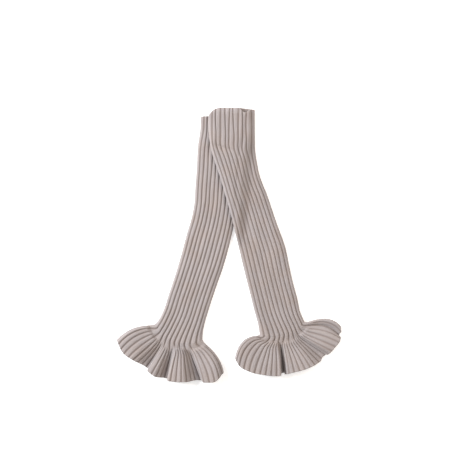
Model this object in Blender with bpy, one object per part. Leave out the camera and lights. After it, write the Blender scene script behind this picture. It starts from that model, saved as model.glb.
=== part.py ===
"""Pair of ribbed leg warmers with wide ruffles, laid flat, the upper end of the right one on the left one.

Metres, +Z up. Seen from above, +X is to the right and +Y runs from the ruffles to the mouths.
Each leg warmer is a knitted tube and a ruffle. Both are flattened rings: an upper sheet with raised ribs
and a plain underside, joined by a fold on each side. A place on a sheet is given by two shares:
"across", from 0 at the left fold to 1 at the right fold, and "along", from 0 at the mouth end to 1.
"""

import bmesh
import bpy
import numpy as np

# Cloth
WALL = 0.0020
UNDER_WALL = 0.0022
SIDE_WALL = 0.0024
FOLD_HEIGHT = 0.0030
LOWER_FOLD_WIDTH = 0.0035
INNER_FOLD_WIDTH = 0.0020
SEAM_GAP = 0.0003
CLEARANCE = 0.0004

# Tube
TUBE_HEIGHT = 0.0076
TUBE_SHOULDER = 0.011
TUBE_RIBS = 10.5
RIB_START = 0.25
RIB_HEIGHT = 0.0013
RIB_SHARPNESS = 0.6
MOUTH_CORNER = 0.3
MOUTH_REACH = 0.06
SAG_FROM = 0.88
NECK_RISE = 0.0015
NECK_FROM = 0.90

# Ruffle, with three ribs for each rib of the tube
RIB_SPLIT = 3
RUFFLE_RIBS = TUBE_RIBS * RIB_SPLIT
RUFFLE_RIB_HEIGHT = 0.0012
SEAM_RIB_HEIGHT = 0.0002
RUFFLE_SHOULDER = 0.0045
VALLEY_HEIGHT = 0.0051
VALLEY_REACH = 0.6
VALLEY_RECESS = 0.0045
UNDER_RECESS = 0.0030
RAY_BEND = 0.24
SPREAD_BEND = 0.72
LEAD_SHARE = 0.6
FOLD_BEND_SHARE = 0.2
STEP_REACH = 0.055
GROW_FROM = 0.16
END_SHARE = 0.06

# The right leg warmer keeps its height a little past the left one's fold, then comes down to the floor
DRAPE_REACH = 0.022
DRAPE_EDGE = 0.003

# Colours of the yarn as they show on each piece
LEFT_TUBE_COLOUR = (0.47, 0.41, 0.40)
LEFT_RUFFLE_COLOUR = (0.45, 0.39, 0.38)
RIGHT_TUBE_COLOUR = (0.48, 0.42, 0.40)
RIGHT_RUFFLE_COLOUR = (0.46, 0.40, 0.38)
YARN_ROUGHNESS = 0.95

# Mesh steps
LEFT_TUBE_ROWS = 23
MOUTH_ROWS = (0.0, 0.014, 0.028)
OVERLAP_END = 0.55
OVERLAP_ROWS = 20
LOWER_ROWS = 10
RUFFLE_ROWS = (0.0, 0.07, 0.14, 0.22, 0.32, 0.46, 0.63, 0.81, 1.0)
TUBE_RIB_STEPS = (0.0, 0.3, 0.7)
TUBE_INNER_STEPS = (0.0,)
RUFFLE_RIB_STEPS = (0.0, 0.5)
FOLD_STEPS = (0.3, 1.3)
FOLD_MARGIN = 0.1
TUBE_UNDER_STEPS = 13
RUFFLE_UNDER_STEPS = 13
DENSE_STEPS = 1601
SPINE_STEPS = 400
SMALL_STEP = 1e-4

# Middle line of each tube from the mouth to the ruffle
# Columns: x, y, half of the flat width
LEFT_SPINE = (
    (-0.0114, 0.2455, 0.0420),
    (-0.0124, 0.2161, 0.0420),
    (-0.0177, 0.1857, 0.0410),
    (-0.0209, 0.1439, 0.0400),
    (-0.0238, 0.1059, 0.0400),
    (-0.0258, 0.0774, 0.0397),
    (-0.0313, 0.0451, 0.0400),
    (-0.0401, 0.0109, 0.0411),
    (-0.0505, -0.0272, 0.0408),
    (-0.0628, -0.0652, 0.0399),
    (-0.0754, -0.1032, 0.0399),
    (-0.0861, -0.1374, 0.0406),
    (-0.0905, -0.1505, 0.0425),
    (-0.0945, -0.1621, 0.0460),
)
RIGHT_SPINE = (
    (0.0051, 0.2593, 0.0432),
    (0.0051, 0.2237, 0.0432),
    (0.0059, 0.2047, 0.0426),
    (0.0080, 0.1857, 0.0410),
    (0.0110, 0.1705, 0.0392),
    (0.0167, 0.1477, 0.0369),
    (0.0226, 0.1249, 0.0358),
    (0.0285, 0.1059, 0.0364),
    (0.0352, 0.0869, 0.0374),
    (0.0428, 0.0622, 0.0383),
    (0.0494, 0.0394, 0.0393),
    (0.0555, 0.0185, 0.0406),
    (0.0646, -0.0120, 0.0424),
    (0.0733, -0.0500, 0.0419),
    (0.0806, -0.0804, 0.0414),
    (0.0885, -0.1108, 0.0418),
    (0.0950, -0.1374, 0.0412),
    (0.1002, -0.1554, 0.0435),
)

# How far each corner of the mouth hangs back from its middle: left corner, right corner
LEFT_MOUTH = (0.0020, 0.0020)
RIGHT_MOUTH = (0.0150, 0.0035)

# How far the middle of the seam lies beyond its ends
LEFT_SAG = 0.021
RIGHT_SAG = 0.013

# Hem of each ruffle seen from above, from the left fold round to the right fold
# Columns: x, y
LEFT_HEM = (
    (-0.2128, -0.1792),
    (-0.2014, -0.2027),
    (-0.1824, -0.2172),
    (-0.1558, -0.2362),
    (-0.1368, -0.2502),
    (-0.1064, -0.2569),
    (-0.0760, -0.2577),
    (-0.0456, -0.2589),
    (-0.0266, -0.2577),
    (-0.0105, -0.2417),
)
RIGHT_HEM = (
    (0.0118, -0.2143),
    (0.0190, -0.2277),
    (0.0399, -0.2390),
    (0.0627, -0.2439),
    (0.0988, -0.2458),
    (0.1178, -0.2409),
    (0.1463, -0.2333),
    (0.1767, -0.2172),
    (0.1995, -0.1943),
    (0.2118, -0.1773),
    (0.2124, -0.1545),
)

# Place that each ruffle's left and right fold bends towards on its way to the hem
LEFT_FOLD_BENDS = ((-0.1622, -0.1250), (-0.0209, -0.1790))
RIGHT_FOLD_BENDS = ((0.0270, -0.1330), (0.1740, -0.1050))

# How much the ribs of each ruffle spread at once and then run side by side, and which way they run back
# Columns: share of the hem, amount, way back x, way back y
LEFT_SPREAD = (
    (0.00, 0.0, 0.95, 0.30),
    (0.10, 0.5, 0.85, 0.53),
    (0.25, 0.6, 0.80, 0.60),
    (0.34, 0.5, 0.60, 0.80),
    (0.45, 0.6, 0.42, 0.91),
    (0.55, 0.6, 0.12, 0.99),
    (0.70, 0.6, 0.00, 1.00),
    (0.84, 0.5, -0.25, 0.97),
    (1.00, 0.0, -0.40, 0.92),
)
RIGHT_SPREAD = (
    (0.00, 0.3, 0.40, 0.92),
    (0.10, 0.6, 0.30, 0.95),
    (0.25, 0.7, 0.10, 0.99),
    (0.38, 0.7, 0.00, 1.00),
    (0.50, 0.6, -0.20, 0.98),
    (0.65, 0.6, -0.50, 0.87),
    (0.80, 0.5, -0.80, 0.60),
    (0.92, 0.3, -0.95, 0.31),
    (1.00, 0.0, -1.00, 0.00),
)

# Waves of each ruffle's upper sheet, as shares of the hem
# Columns: start of the rise, start and end of the crest, end of the fall, height,
# share along at which it steps up, share of its height in that step
LEFT_WAVES = (
    (-0.10, 0.00, 0.170, 0.335, 0.0150, 0.34, 0.20),
    (0.330, 0.366, 0.390, 0.520, 0.0165, 0.38, 0.10),
    (0.512, 0.548, 0.640, 0.795, 0.0200, 0.21, 0.38),
    (0.790, 0.828, 0.930, 1.050, 0.0170, 0.27, 0.20),
)
RIGHT_WAVES = (
    (-0.10, 0.00, 0.360, 0.396, 0.0190, 0.26, 0.25),
    (0.394, 0.440, 0.600, 0.745, 0.0165, 0.34, 0.15),
    (0.742, 0.800, 0.880, 0.940, 0.0140, 0.30, 0.20),
    (0.945, 0.965, 0.985, 1.010, 0.0045, 0.34, 0.15),
)


def smooth(share):
    """Ease from 0 to 1 with level ends."""
    share = np.clip(share, 0.0, 1.0)
    return share * share * (3.0 - 2.0 * share)


def shoulder(distance, reach):
    """Quarter ellipse from 0 at the fold to 1 at the reach and beyond."""
    share = np.clip(distance / reach, 0.0, 1.0)
    return np.sqrt(1.0 - (1.0 - share) ** 2)


def rib_profile(phase):
    """Height share of a rib: narrow grooves at whole phases and broad round ribs between them."""
    return np.abs(np.sin(np.pi * phase)) ** RIB_SHARPNESS


def unit(vectors):
    """Vectors divided by their lengths."""
    return vectors / np.linalg.norm(vectors, axis=-1, keepdims=True)


def curve_through(rows, share):
    """Cubic curve through the rows, read at shares of its length."""
    rows = np.asarray(rows, float)
    steps = np.linalg.norm(np.diff(rows[:, :2], axis=0), axis=1)
    knots = np.concatenate([[0.0], np.cumsum(steps)]) / steps.sum()
    slopes = np.gradient(rows, knots, axis=0)
    share = np.clip(share, 0.0, 1.0)
    cell = np.clip(np.searchsorted(knots, share, side="right") - 1, 0, len(knots) - 2)
    span = (knots[cell + 1] - knots[cell])[..., None]
    t = (share - knots[cell])[..., None] / span
    start = (1 + 2 * t) * (1 - t) ** 2 * rows[cell] + t * (1 - t) ** 2 * span * slopes[cell]
    end = t * t * (3 - 2 * t) * rows[cell + 1] - t * t * (1 - t) * span * slopes[cell + 1]
    return start + end


def with_height(plan, height):
    """Join plan places and heights into points."""
    height = np.broadcast_to(height, plan.shape[:-1])
    return np.concatenate([plan, height[..., None]], axis=-1)


def normals(surface, across, along):
    """Unit normals of a surface, pointing up and out of the ring."""
    right = surface(np.minimum(across + SMALL_STEP, 1.0), along)
    left = surface(np.maximum(across - SMALL_STEP, 0.0), along)
    further = surface(across, np.minimum(along + SMALL_STEP, 1.0))
    nearer = surface(across, np.maximum(along - SMALL_STEP, 0.0))
    return unit(np.cross(further - nearer, right - left))


class Tube:
    """Flattened ribbed tube along a spine."""

    ribs = TUBE_RIBS
    rib_start = RIB_START
    rib_steps = TUBE_RIB_STEPS
    inner_steps = TUBE_INNER_STEPS
    even_weights = (1.0, 1.0, 0.0)
    under_steps = TUBE_UNDER_STEPS
    even_at = 0.5

    def __init__(self, spine, mouth, sag, rows):
        self.spine = spine
        self.mouth = mouth
        self.sag = sag
        self.rows = rows

    def line(self, along):
        """Centre, way along, way across and half width of the tube."""
        here = curve_through(self.spine, along)
        ahead = curve_through(self.spine, np.minimum(along + SMALL_STEP, 1.0))
        behind = curve_through(self.spine, np.maximum(along - SMALL_STEP, 0.0))
        way = unit((ahead - behind)[..., :2])
        side = np.stack([-way[..., 1], way[..., 0]], axis=-1)
        return here[..., :2], way, side, here[..., 2]

    def plan(self, across, along):
        """Place seen from above, with the corners of the mouth hanging back a little."""
        centre, way, side, half = self.line(along)
        left_drop = self.mouth[0] * np.clip(1.0 - across / MOUTH_CORNER, 0.0, 1.0) ** 3
        right_drop = self.mouth[1] * np.clip(1.0 - (1.0 - across) / MOUTH_CORNER, 0.0, 1.0)
        drop = (left_drop + right_drop) * smooth(1.0 - along / MOUTH_REACH)
        return centre + side * ((2 * across - 1) * half)[..., None] + way * drop[..., None]

    def sheet(self, across, along):
        """Upper sheet at the groove floors: near the seam it rises and its middle runs on."""
        across, along = np.broadcast_arrays(across, along)
        way = self.line(along)[1]
        near_seam = smooth((along - SAG_FROM) / (1.0 - SAG_FROM))
        sag = self.sag * (1.0 - np.abs(2.0 * across - 1.0) ** 3) * near_seam
        neck = NECK_RISE * smooth((along - NECK_FROM) / (1.0 - NECK_FROM))
        return with_height(self.plan(across, along) + way * sag[..., None], TUBE_HEIGHT + neck)

    def under_plan(self, across, along):
        """Underside seen from above."""
        across, along = np.broadcast_arrays(across, along)
        return self.plan(across, along)

    def girth(self, along):
        """Length from fold to fold over the upper sheet."""
        return 2 * self.line(along)[3]

    def reach(self, along):
        """How far in from the fold the sheet comes up to its height."""
        return TUBE_SHOULDER + 0 * along

    def rib_height(self, along):
        """Height of the ribs over the groove floors, low where the ruffle is sewn on."""
        near_seam = smooth((along - NECK_FROM) / (1.0 - NECK_FROM))
        return RIB_HEIGHT + (SEAM_RIB_HEIGHT - RIB_HEIGHT) * near_seam


class Ruffle:
    """Ruffle that fans out from the lower end of a tube to a wavy hem."""

    ribs = RUFFLE_RIBS
    rib_start = RIB_START * RIB_SPLIT
    rib_steps = RUFFLE_RIB_STEPS
    inner_steps = RUFFLE_RIB_STEPS
    even_weights = (1.0, 1.0, 1.0)
    under_steps = RUFFLE_UNDER_STEPS
    rows = np.array(RUFFLE_ROWS)
    even_at = 1.0

    def __init__(self, tube, hem, fold_bends, spread, waves):
        self.tube = tube
        self.hem = hem
        self.fold_bends = fold_bends
        self.spread = np.array(spread)
        self.waves = waves
        dense = np.linspace(0.0, 1.0, DENSE_STEPS)
        line = with_height(self.hem_plan(dense), self.wave(dense, 1.0))
        lengths = np.concatenate([[0.0], np.cumsum(np.linalg.norm(np.diff(line, axis=0), axis=1))])
        self.hem_length = lengths[-1]
        self.hem_shares = dense
        self.length_shares = lengths / lengths[-1]

    def wave(self, share, along):
        """Height of the waves: each rises, keeps its crest and falls, and grows and steps up along."""
        height = np.zeros(np.broadcast_shapes(np.shape(share), np.shape(along)))
        for rise_from, crest_from, crest_to, fall_to, top, step_at, step_share in self.waves:
            rise = smooth((share - rise_from) / (crest_from - rise_from))
            fall = smooth((fall_to - share) / (fall_to - crest_to))
            step = smooth(0.5 + (along - step_at) / (2 * STEP_REACH))
            grown = step_share * step + (1 - step_share) * smooth((along - GROW_FROM) / (1.0 - GROW_FROM))
            height = height + top * np.minimum(rise, fall) * grown
        return height

    def hem_plan(self, share):
        """Hem of the upper sheet seen from above, set back where it lies in a valley."""
        place = curve_through(self.hem, share)
        ends = smooth(np.minimum(share, 1.0 - share) / END_SHARE)
        lowest = min(wave[4] for wave in self.waves)
        lowness = 1.0 - np.clip(self.wave(share, 1.0) / lowest, 0.0, 1.0)
        return place + self.inward(place) * (VALLEY_RECESS * ends * lowness)[..., None]

    def inward(self, place):
        """Unit way from a place on the hem back to the seam's middle."""
        return unit(self.tube.line(np.array(1.0))[0] - place)

    def lead(self, start_share):
        """Unit way that the tube's ribs run in where they come to the seam."""
        end = np.ones_like(start_share)
        return unit(self.tube.plan(start_share, end) - self.tube.plan(start_share, end - SMALL_STEP))

    def ray(self, start, start_share, hem_place, share, along):
        """Cubic curve that leaves the seam as the tube's ribs run, then turns to its place on the hem."""
        start = start + self.tube.line(np.ones_like(start_share))[1] * SEAM_GAP
        lead = self.lead(start_share)
        reach = np.linalg.norm(hem_place - start, axis=-1, keepdims=True)
        bend = start + lead * reach * RAY_BEND
        amount, back_x, back_y = (np.interp(share, self.spread[:, 0], self.spread[:, k]) for k in (1, 2, 3))
        back = np.stack([back_x, back_y], axis=-1)
        bend = bend + (hem_place + back * reach * SPREAD_BEND - bend) * amount[..., None]
        near_left = smooth(1.0 - start_share / FOLD_BEND_SHARE)[..., None]
        near_right = smooth(1.0 - (1.0 - start_share) / FOLD_BEND_SHARE)[..., None]
        bend = bend + (np.array(self.fold_bends[0]) - bend) * near_left
        bend = bend + (np.array(self.fold_bends[1]) - bend) * near_right
        near = start + lead * LEAD_SHARE * reach * RAY_BEND
        far = hem_place + (bend - hem_place) * (2.0 / 3.0)
        t = along[..., None]
        first = (1 - t) ** 3 * start + 3 * t * (1 - t) ** 2 * near
        return first + 3 * t * t * (1 - t) * far + t**3 * hem_place

    def sheet(self, across, along):
        """Upper sheet at the groove floors: down from the neck to the valleys, and the waves above them."""
        across, along = np.broadcast_arrays(across, along)
        share = np.interp(across, self.length_shares, self.hem_shares)
        start = self.tube.sheet(across, np.ones_like(across))[..., :2]
        plan = self.ray(start, across, self.hem_plan(share), share, along)
        neck = TUBE_HEIGHT + NECK_RISE
        valley = neck + (VALLEY_HEIGHT - neck) * smooth(along / VALLEY_REACH)
        return with_height(plan, valley + self.wave(share, along))

    def under_plan(self, across, along):
        """Underside seen from above, a little short of the upper hem."""
        across, along = np.broadcast_arrays(across, along)
        place = curve_through(self.hem, across)
        ends = smooth(np.minimum(across, 1.0 - across) / END_SHARE)
        place = place + self.inward(place) * (UNDER_RECESS * ends)[..., None]
        start = self.tube.plan(across, np.ones_like(across))
        return self.ray(start, across, place, across, along)

    def girth(self, along):
        """Length from fold to fold over the upper sheet."""
        seam = 2 * self.tube.line(np.array(1.0))[3]
        return seam + (self.hem_length - seam) * along

    def reach(self, along):
        """How far in from the fold the sheet comes up to its height."""
        return TUBE_SHOULDER + (RUFFLE_SHOULDER - TUBE_SHOULDER) * smooth(along / VALLEY_REACH)

    def rib_height(self, along):
        """Height of the ribs over the groove floors."""
        growth = smooth(along / VALLEY_REACH)
        return SEAM_RIB_HEIGHT + (RUFFLE_RIB_HEIGHT - SEAM_RIB_HEIGHT) * growth


def outer_base(piece, across, along):
    """Upper outer side without its ribs, rounded down to the folds."""
    points = piece.sheet(across, along)
    edge = np.minimum(across, 1.0 - across) * piece.girth(along)
    rise = shoulder(edge, piece.reach(along))
    points[..., 2] = FOLD_HEIGHT + (points[..., 2] - FOLD_HEIGHT) * rise
    return points


def even_across(piece, phases):
    """Shares across of rib phases, even as seen from above on a tube and along the cloth on a ruffle."""
    dense = np.linspace(0.0, 1.0, DENSE_STEPS)
    line = outer_base(piece, dense, np.full(1, piece.even_at))
    steps = np.diff(line, axis=0) * piece.even_weights
    lengths = np.concatenate([[0.0], np.cumsum(np.linalg.norm(steps, axis=1))])
    return np.interp(np.asarray(phases) / piece.ribs, lengths / lengths[-1], dense)


def rib_phases(piece, steps):
    """Phases of the points across the upper side, from fold to fold, at the given steps of each rib."""
    whole = np.arange(np.ceil(piece.ribs) + 1.0) - piece.rib_start
    phases = (whole[:, None] + np.array(steps)).ravel()
    inside = phases[(phases > FOLD_MARGIN) & (phases < piece.ribs - FOLD_MARGIN)]
    return np.concatenate([[0.0], inside, [piece.ribs]])


def outer_ring(piece):
    """Outer points of every row, with their ring shares: 0 to 1 over the top, 1 to 2 back underneath."""
    along = piece.rows[:, None]
    phases = rib_phases(piece, piece.rib_steps)
    across = even_across(piece, phases)[None, :]
    top = outer_base(piece, across, along)
    relief = rib_profile(phases + piece.rib_start)[None, :] * piece.rib_height(along)
    top = top + normals(lambda a, v: outer_base(piece, a, v), across, along) * relief[..., None]
    fold = LOWER_FOLD_WIDTH / piece.girth(along)
    flat_from = FOLD_STEPS[1] * fold
    flat_steps = np.linspace(0.0, 1.0, piece.under_steps - 1)[None, :]
    flat = flat_from + (1.0 - 2.0 * flat_from) * flat_steps
    turn = FOLD_STEPS[0] * fold
    back = np.concatenate([turn, flat, 1.0 - turn], axis=1)[:, ::-1]
    edge = np.minimum(back, 1.0 - back) * piece.girth(along)
    height = FOLD_HEIGHT * (1.0 - shoulder(edge, LOWER_FOLD_WIDTH))
    under = with_height(piece.under_plan(back, along), height)
    shares = np.concatenate([across[0], 2.0 - back[-1]])
    return np.concatenate([top, under], axis=1), shares


def inner_ring(piece):
    """Inner points of every row, plain, in line with the outer ones above and a few underneath."""
    along = piece.rows[:, None]
    across = even_across(piece, rib_phases(piece, piece.inner_steps))[None, :]
    girth = piece.girth(along)
    margin = SIDE_WALL / girth
    inside = margin + (1.0 - 2.0 * margin) * across
    top = piece.sheet(inside, along) - normals(piece.sheet, inside, along) * WALL
    edge = np.minimum(across, 1.0 - across) * (1.0 - 2.0 * margin) * girth
    rise = shoulder(edge, piece.reach(along) - SIDE_WALL)
    top[..., 2] = FOLD_HEIGHT + (top[..., 2] - FOLD_HEIGHT) * rise
    back = np.linspace(1.0, 0.0, piece.under_steps + 1)[1:-1]
    place = margin + (1.0 - 2.0 * margin) * back[None, :]
    edge = np.minimum(back, 1.0 - back)[None, :] * girth
    height = UNDER_WALL + (FOLD_HEIGHT - UNDER_WALL) * (1.0 - shoulder(edge, INNER_FOLD_WIDTH))
    under = with_height(piece.under_plan(place, along), height)
    shares = np.concatenate([across[0], 2.0 - back])
    return np.concatenate([top, under], axis=1), shares


def drape(points, under):
    """Lift points onto the tube underneath, easing down to the floor beside it."""
    along = np.linspace(0.0, 1.0, SPINE_STEPS)
    centre, way, side, half = under.line(along)
    flat = points[..., :2].reshape(-1, 2)
    apart = flat[:, None, :] - centre[None, :, :]
    nearest = np.argmin((apart ** 2).sum(axis=-1), axis=1)
    offset = flat - centre[nearest]
    sideways = np.abs((offset * side[nearest]).sum(axis=-1))
    edge = half[nearest] - sideways
    beyond = np.maximum(-((flat - centre[0]) * way[0]).sum(axis=-1), 0.0)
    rise = shoulder(np.maximum(edge, DRAPE_EDGE), TUBE_SHOULDER)
    height = FOLD_HEIGHT + (TUBE_HEIGHT - FOLD_HEIGHT) * rise
    outside = np.hypot(np.maximum(-edge - DRAPE_EDGE, 0.0), np.maximum(beyond - DRAPE_EDGE, 0.0))
    lift = (height + RIB_HEIGHT + CLEARANCE) * (1.0 - smooth(outside / DRAPE_REACH))
    lifted = points.copy()
    lifted[..., 2] += lift.reshape(points.shape[:-1])
    return lifted


def band_faces(first, second):
    """Quads between two closed rows of vertices."""
    return [
        (first[k], first[(k + 1) % len(first)], second[(k + 1) % len(first)], second[k])
        for k in range(len(first))
    ]


def rim_faces(outer, outer_shares, inner, inner_shares):
    """Triangles between an outer and an inner ring with unlike numbers of points."""
    faces = []
    i = 0
    j = 0
    outer_next = np.append(outer_shares[1:], 2.0)
    inner_next = np.append(inner_shares[1:], 2.0)
    while i < len(outer) or j < len(inner):
        a = outer[i % len(outer)]
        b = inner[j % len(inner)]
        outer_turn = j == len(inner) or (i < len(outer) and outer_next[i] <= inner_next[j])
        if outer_turn:
            i += 1
            faces.append((a, outer[i % len(outer)], b))
        else:
            j += 1
            faces.append((a, inner[j % len(inner)], b))
    return faces


def build_piece(name, piece, colour, collection, under=None):
    """Loft the walls of one knitted piece between its outer and inner rings."""
    outer, outer_shares = outer_ring(piece)
    inner, inner_shares = inner_ring(piece)
    if under is not None:
        outer = drape(outer, under)
        inner = drape(inner, under)
    bm = bmesh.new()
    outer_rows = [[bm.verts.new(point) for point in row] for row in outer]
    inner_rows = [[bm.verts.new(point) for point in row] for row in inner]
    faces = []
    for first, second in zip(outer_rows, outer_rows[1:]):
        faces += band_faces(first, second)
    for first, second in zip(inner_rows, inner_rows[1:]):
        faces += band_faces(second, first)
    for end in (0, -1):
        faces += rim_faces(outer_rows[end], outer_shares, inner_rows[end], inner_shares)
    for face in faces:
        bm.faces.new(face)
    bmesh.ops.triangulate(bm, faces=bm.faces[:])
    bmesh.ops.recalc_face_normals(bm, faces=bm.faces[:])
    mesh = bpy.data.meshes.new(name)
    bm.to_mesh(mesh)
    bm.free()
    mesh.materials.append(knit_material(name, colour))
    piece_object = bpy.data.objects.new(name, mesh)
    collection.objects.link(piece_object)
    return piece_object


def knit_material(name, colour):
    """Dull knitted yarn."""
    material = bpy.data.materials.new(name + "_knit")
    material.use_nodes = True
    shader = material.node_tree.nodes["Principled BSDF"]
    shader.inputs["Base Color"].default_value = (*colour, 1.0)
    shader.inputs["Roughness"].default_value = YARN_ROUGHNESS
    shader.inputs["Metallic"].default_value = 0.0
    return material


def main():
    for item in list(bpy.data.objects):
        bpy.data.objects.remove(item, do_unlink=True)
    collection = bpy.data.collections.new("pair_of_leg_warmers")
    bpy.context.scene.collection.children.link(collection)
    overlap_rows = np.linspace(MOUTH_ROWS[-1], OVERLAP_END, OVERLAP_ROWS)
    lower_rows = np.linspace(OVERLAP_END, 1.0, LOWER_ROWS)
    right_rows = np.concatenate([MOUTH_ROWS[:-1], overlap_rows, lower_rows[1:]])
    left_tube = Tube(LEFT_SPINE, LEFT_MOUTH, LEFT_SAG, np.linspace(0.0, 1.0, LEFT_TUBE_ROWS))
    right_tube = Tube(RIGHT_SPINE, RIGHT_MOUTH, RIGHT_SAG, right_rows)
    left_ruffle = Ruffle(left_tube, LEFT_HEM, LEFT_FOLD_BENDS, LEFT_SPREAD, LEFT_WAVES)
    right_ruffle = Ruffle(right_tube, RIGHT_HEM, RIGHT_FOLD_BENDS, RIGHT_SPREAD, RIGHT_WAVES)
    build_piece("left_tube", left_tube, LEFT_TUBE_COLOUR, collection)
    build_piece("left_ruffle", left_ruffle, LEFT_RUFFLE_COLOUR, collection)
    build_piece("right_tube", right_tube, RIGHT_TUBE_COLOUR, collection, under=left_tube)
    build_piece("right_ruffle", right_ruffle, RIGHT_RUFFLE_COLOUR, collection)


main()
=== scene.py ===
"""Pair of ribbed leg warmers with wide ruffles, laid flat, the upper end of the right one on the left one.

Metres, +Z up. Seen from above, +X is to the right and +Y runs from the ruffles to the mouths.
Every piece is one knitted ring: an upper sheet and an underside, joined by a fold on each side.
A place on a ring is given by its rib phase, which counts ribs from the left fold over the top to the
right fold and back underneath, and by its share along, from 0 at the mouth end to 1.
"""

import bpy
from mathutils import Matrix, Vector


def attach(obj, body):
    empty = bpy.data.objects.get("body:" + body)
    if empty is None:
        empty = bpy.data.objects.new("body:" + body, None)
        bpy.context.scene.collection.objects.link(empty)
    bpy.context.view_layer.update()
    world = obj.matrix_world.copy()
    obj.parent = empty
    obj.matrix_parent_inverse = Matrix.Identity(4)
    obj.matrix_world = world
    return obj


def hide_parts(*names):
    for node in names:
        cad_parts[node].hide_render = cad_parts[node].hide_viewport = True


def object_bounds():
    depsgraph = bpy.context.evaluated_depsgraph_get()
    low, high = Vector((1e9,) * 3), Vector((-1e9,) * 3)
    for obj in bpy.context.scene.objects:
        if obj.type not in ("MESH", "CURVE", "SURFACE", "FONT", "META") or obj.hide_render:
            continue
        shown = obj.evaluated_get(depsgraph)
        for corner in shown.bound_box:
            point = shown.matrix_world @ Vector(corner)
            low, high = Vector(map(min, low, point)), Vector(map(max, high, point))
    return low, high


bl_info = {
    "name": "Ribbed Leg Warmers",
    "version": (1, 0, 0),
    "blender": (4, 5, 0),
    "location": "3D View > Sidebar > Leg Warmers",
    "description": "Knitted looks for a pair of ribbed leg warmers with ruffles, and a plain studio",
    "category": "Add Mesh",
}

import bpy
import numpy as np
from bpy.props import FloatProperty, FloatVectorProperty, PointerProperty
from bpy.types import Operator, Panel, PropertyGroup

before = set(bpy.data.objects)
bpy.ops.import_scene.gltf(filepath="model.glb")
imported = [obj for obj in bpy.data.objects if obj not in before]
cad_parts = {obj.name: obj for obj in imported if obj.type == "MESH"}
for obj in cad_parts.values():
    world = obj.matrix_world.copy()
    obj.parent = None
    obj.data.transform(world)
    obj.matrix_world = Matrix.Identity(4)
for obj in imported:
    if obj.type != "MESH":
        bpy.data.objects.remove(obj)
cad_low, cad_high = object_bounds()

# Cloth, as in the solids
WALL = 0.0020
UNDER_WALL = 0.0022
SIDE_WALL = 0.0024
FOLD_HEIGHT = 0.0030
LOWER_FOLD_WIDTH = 0.0035
INNER_FOLD_WIDTH = 0.0020
CLEARANCE = 0.0004

# Tube
TUBE_HEIGHT = 0.0076
TUBE_SHOULDER = 0.011
TUBE_RIBS = 10.5
RIB_START = 0.25
NECK_RISE = 0.0015
NECK_FROM = 0.90
MOUTH_CORNER = 0.3
MOUTH_REACH = 0.06
SAG_FROM = 0.88
KINK_REACH = 0.014
CREASE_END = 0.1
LEAN_FROM = 0.90

# Share across, from each fold, in which the kink and the wander of the ribs fade
CALM_SIDES = 0.15

# Wander of the tube's ribs to the sides, as a share across, and how much more of it the mouth has
WANDER = 0.0040
MOUTH_WANDER = 1.8
MOUTH_WANDER_REACH = 0.25

# Sines that the wander is the sum of
# Columns: turns for each rib across, turns from end to end
WANDER_SINES = (
    (0.31, 1.4),
    (0.47, -3.1),
)

# Ruffle, with three ribs for each rib of the tube
RIB_SPLIT = 3
RUFFLE_RIBS = TUBE_RIBS * RIB_SPLIT
RUFFLE_SHOULDER = 0.0045
VALLEY_HEIGHT = 0.0051
VALLEY_REACH = 0.6
VALLEY_RECESS = 0.0045
UNDER_RECESS = 0.0030
RAY_BEND = 0.24
SPREAD_BEND = 0.72
LEAD_SHARE = 0.6
FOLD_BEND_SHARE = 0.2
FAR_BEND_SHARE = 2.0 / 3.0
STEP_REACH = 0.055
END_SHARE = 0.06
EVEN_REACH = 0.45
GROW_FROM = 0.16
SPLIT_AT = 0.36
SPLIT_REACH = 0.12
GATHER_DEPTH = 0.3
GATHER_FROM = 0.86
GATHER_TO = 0.40

# The right leg warmer keeps its height a little past the left one's fold, then comes down to the floor
DRAPE_REACH = 0.022
DRAPE_EDGE = 0.003

# Knit: each rib has two wales of stitches, whose legs meet in a V
RIB_SHARPNESS = 0.6
WALE_MIDDLE = 0.19
WALE_HALF = 0.19
WALE_DIVIDE = 0.12
WALE_DIVIDE_WIDTH = 0.055
LEG_SLANT_ROWS = 1.6
LEG_SIDE_DROP = 0.7
SEAM_LEG_SIZE = 0.5
UNDER_GROOVE_DEPTH = 0.0008
LIP_RADIUS = 0.0010
LIP_SCALLOP = 0.25
LIP_STITCHES = 3
# Share of the rib's light yarn kept on the inner side: painted shade, for the shade inside the tube
INSIDE_PAINTED_SHADE = 0.3
SEAM_TUCK = 0.004

# Yarn: cells of its noises to a metre, and of its stripes to a rib and to a row of stitches
FIBRE_SCALE = 1900.0
BLOTCH_SCALE = 160.0
PATCH_SCALE = 34.0
STRIPES_ACROSS = 0.7
STRIPES_ALONG = 0.035

# Tone of the yarn, what each noise adds to it and how much painted shade darkens the gaps between stitches
BASE_TONE = 0.77
STRIPE_TONE = 0.30
BLOTCH_TONE = 0.10
FIBRE_TONE = 0.14
GAP_PAINTED_SHADE = 0.12
GAP_SHARPNESS = 4.0

# How the light yarn of a rib gives way to the painted shade of the groove, and where patches of it are
# warmer
CREST_POWER = 0.7
CREST_BLOTCH = 1.5
PATCH_FROM = 0.42
PATCH_GAIN = 2.5
WARM_TINT = (1.0, 0.950, 0.90, 1.0)
SHEEN_TINT = (1.0, 0.97, 0.95, 1.0)

# Relief of the yarn: turns of its plies along and across a stitch leg, and heights beside the fibres' own
PLIES_ALONG = 3.0
PLIES_ACROSS = 2.0
PLY_HEIGHT = 0.25
GAP_HEIGHT = 0.8
BUMP_DISTANCE = 0.00025

# Mesh steps
RIB_STEPS = (0.0, 0.12, 0.215, 0.31, 0.405, 0.5, 0.595, 0.69, 0.785, 0.88)
TUBE_UNDER_STEPS = 6
RUFFLE_UNDER_STEPS = 4
TUBE_INNER_ROWS = 24
RUFFLE_INNER_ROWS = 32
LIP_STEPS = 4
END_ROWS = 8
DENSE_STEPS = 1601
SMALL_STEP = 1e-4
LEAST_LENGTH = 1e-12

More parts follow.
